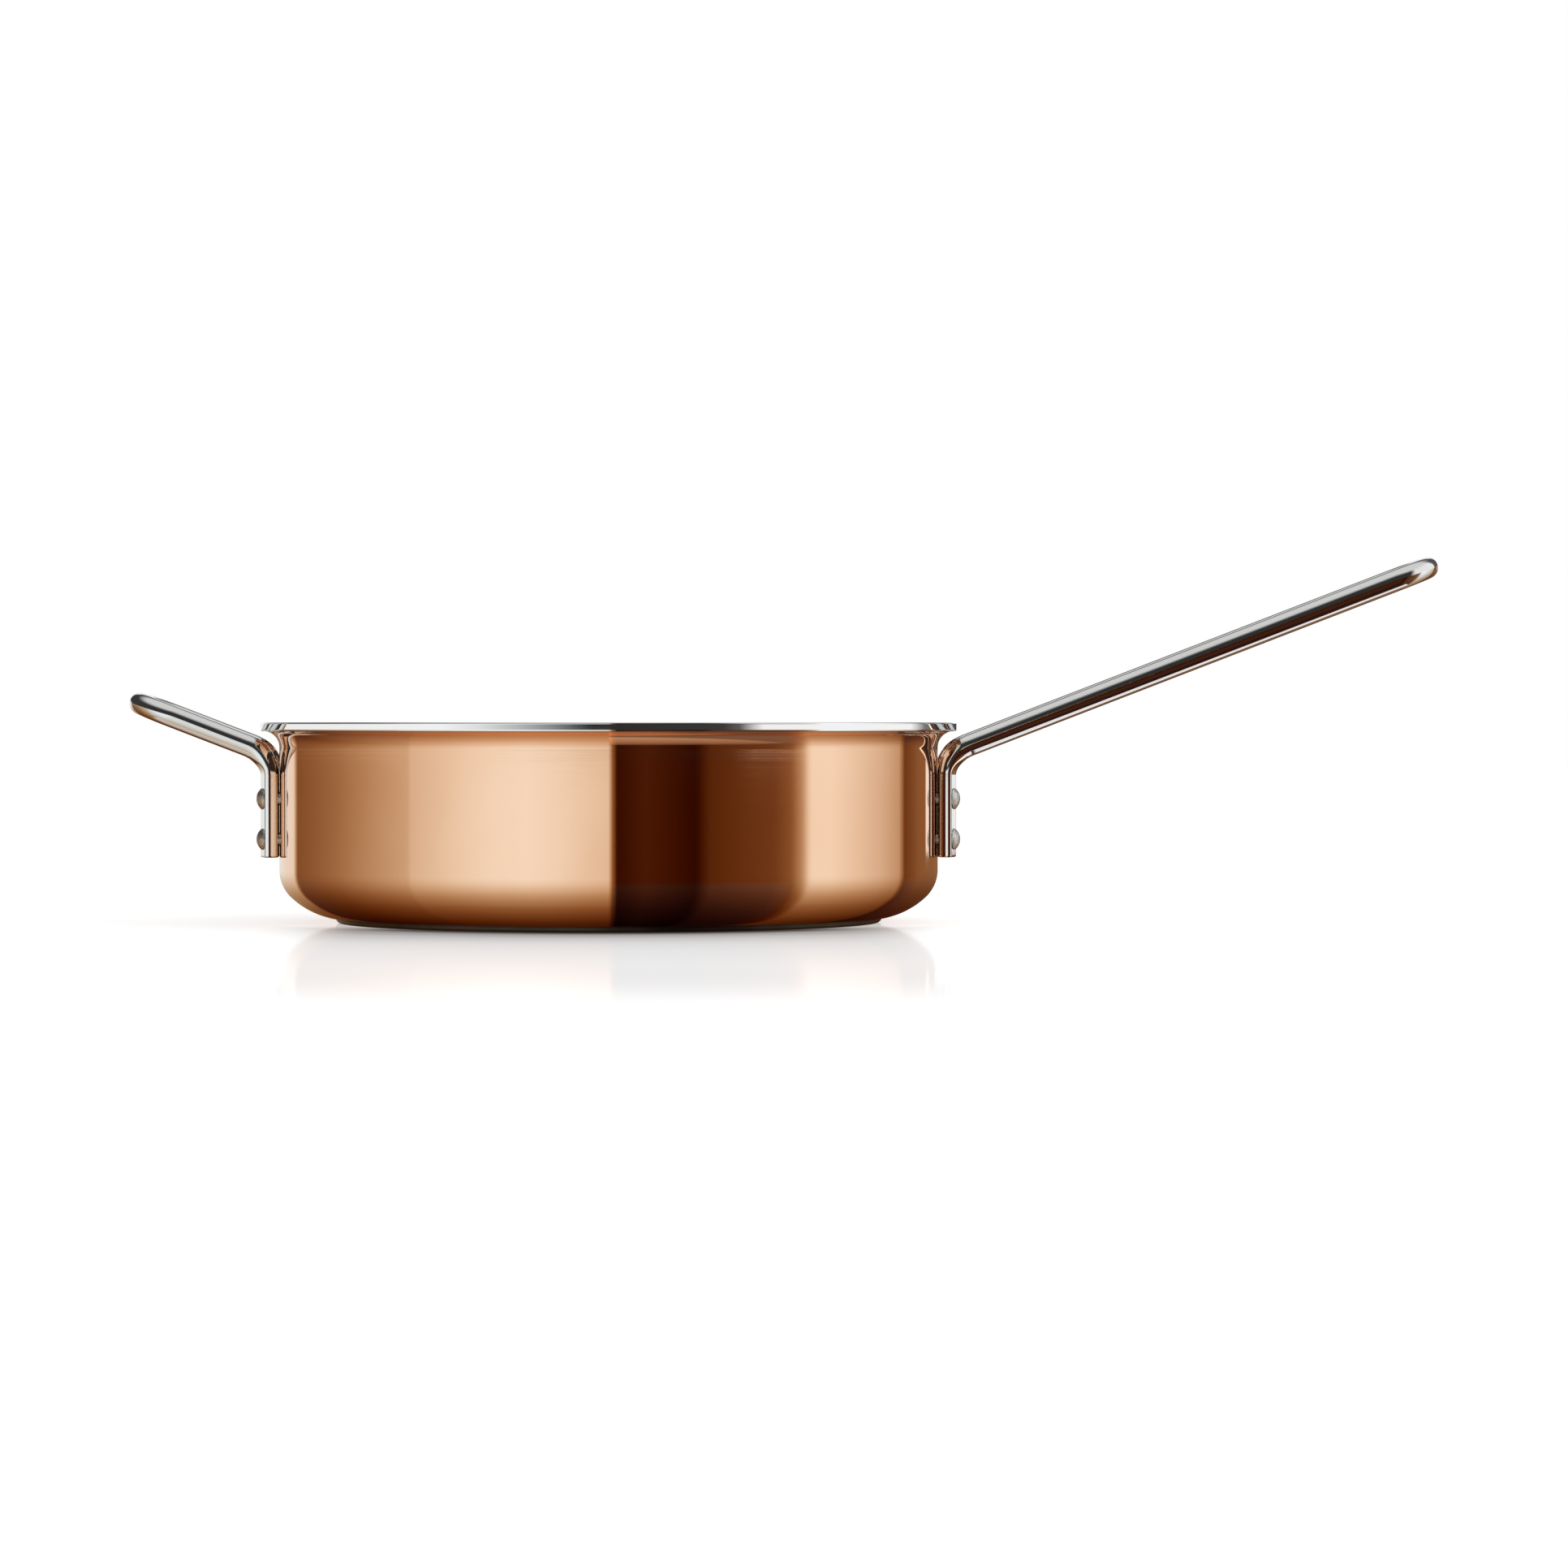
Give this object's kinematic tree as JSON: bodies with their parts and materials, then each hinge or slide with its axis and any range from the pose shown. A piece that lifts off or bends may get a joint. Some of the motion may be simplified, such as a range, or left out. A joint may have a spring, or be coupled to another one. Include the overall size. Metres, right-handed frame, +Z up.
{
  "type": "saute pan",
  "caption": "Straight-sided copper pan with a flared steel rim, a long bent-rod handle and a short bent-rod helper handle, riveted to the wall, standing on a flat base plate.",
  "frame": {"origin": "centre of the base plate's underside, on the pan's axis", "axes": "+Z up along the pan's axis, +X towards the tip of the long handle"},
  "size_m": [0.4913, 0.2606, 0.1373],
  "materials": {
    "polished_copper": "polished copper with faint lines round the wall",
    "core_aluminium": "bare, sealed inside the sheet",
    "lining_steel": "satin inside, polished on the rim's edge",
    "base_steel": "dull dark steel",
    "rod_steel": "mirror polished stainless rod",
    "rivet_metal": "dull upset rivet"
  },
  "bodies": {
    "root": {"copper_shell": "polished_copper", "aluminium_core": "core_aluminium", "steel_lining": "lining_steel", "base_plate": "base_steel", "long_handle": "rod_steel", "helper_handle": "rod_steel", "long_handle_rivet_near_1": "rivet_metal", "long_handle_rivet_near_2": "rivet_metal", "long_handle_rivet_far_1": "rivet_metal", "long_handle_rivet_far_2": "rivet_metal", "helper_handle_rivet_near_1": "rivet_metal", "helper_handle_rivet_near_2": "rivet_metal", "helper_handle_rivet_far_1": "rivet_metal", "helper_handle_rivet_far_2": "rivet_metal"}
  },
  "joints": []
}
